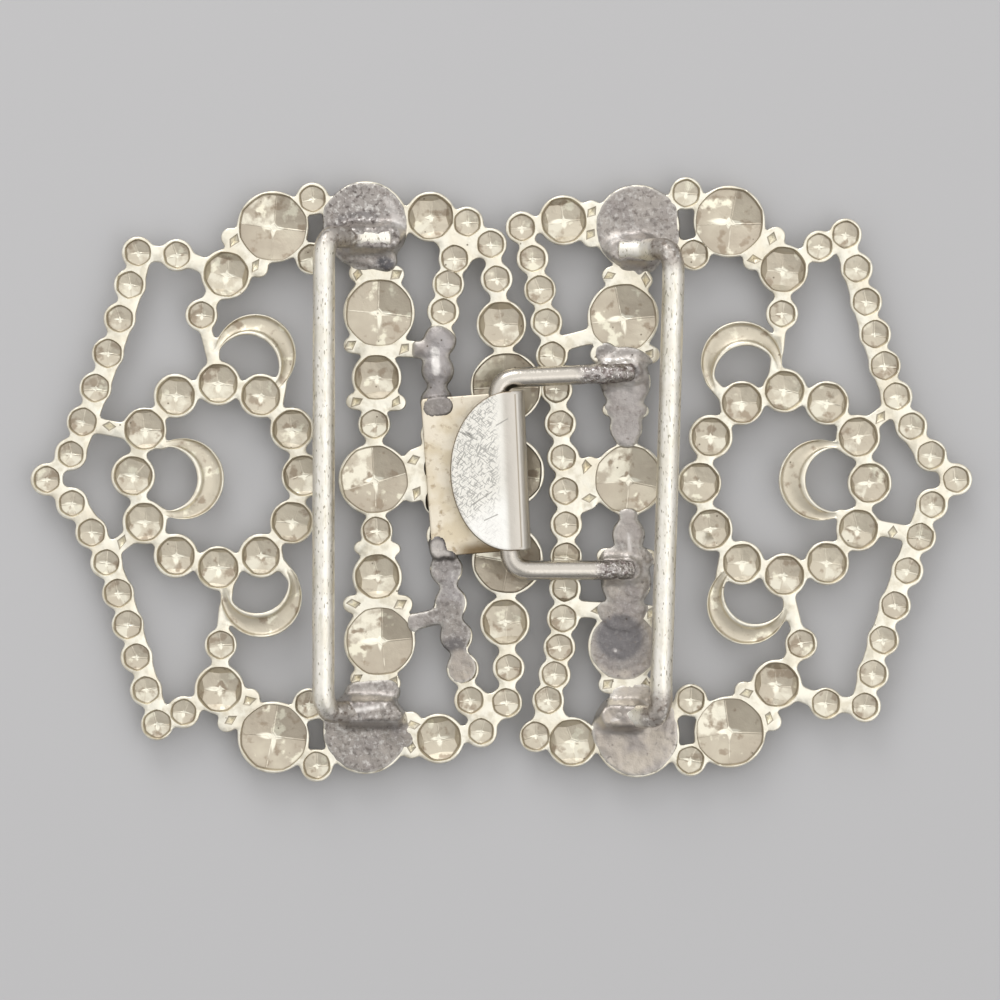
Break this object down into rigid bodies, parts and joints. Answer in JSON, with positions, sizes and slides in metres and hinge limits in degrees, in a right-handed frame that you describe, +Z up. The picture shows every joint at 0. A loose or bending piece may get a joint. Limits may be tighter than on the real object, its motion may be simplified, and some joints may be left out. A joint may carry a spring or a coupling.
{
  "type": "belt buckle",
  "caption": "Fastened belt buckle in halves of pierced sheet with hollow faceted studs, strap bars, a folded hook plate and a wire loop.",
  "frame": {"origin": "middle of the buckle's box, on the floor that the fronts of its largest studs rest on", "axes": "+X from the hook half to the loop half, +Y up the buckle as pictured, +Z up out of its back"},
  "size_m": [0.0784, 0.0506, 0.0059],
  "materials": {
    "hook_half_metal": "pale warm silver plate on pressed sheet and wire, with dull grey solder",
    "loop_half_metal": "pale warm silver plate on pressed sheet and wire, with dull grey solder"
  },
  "bodies": {
    "root": {"hook_half": "hook_half_metal", "loop_half": "loop_half_metal"}
  },
  "joints": []
}
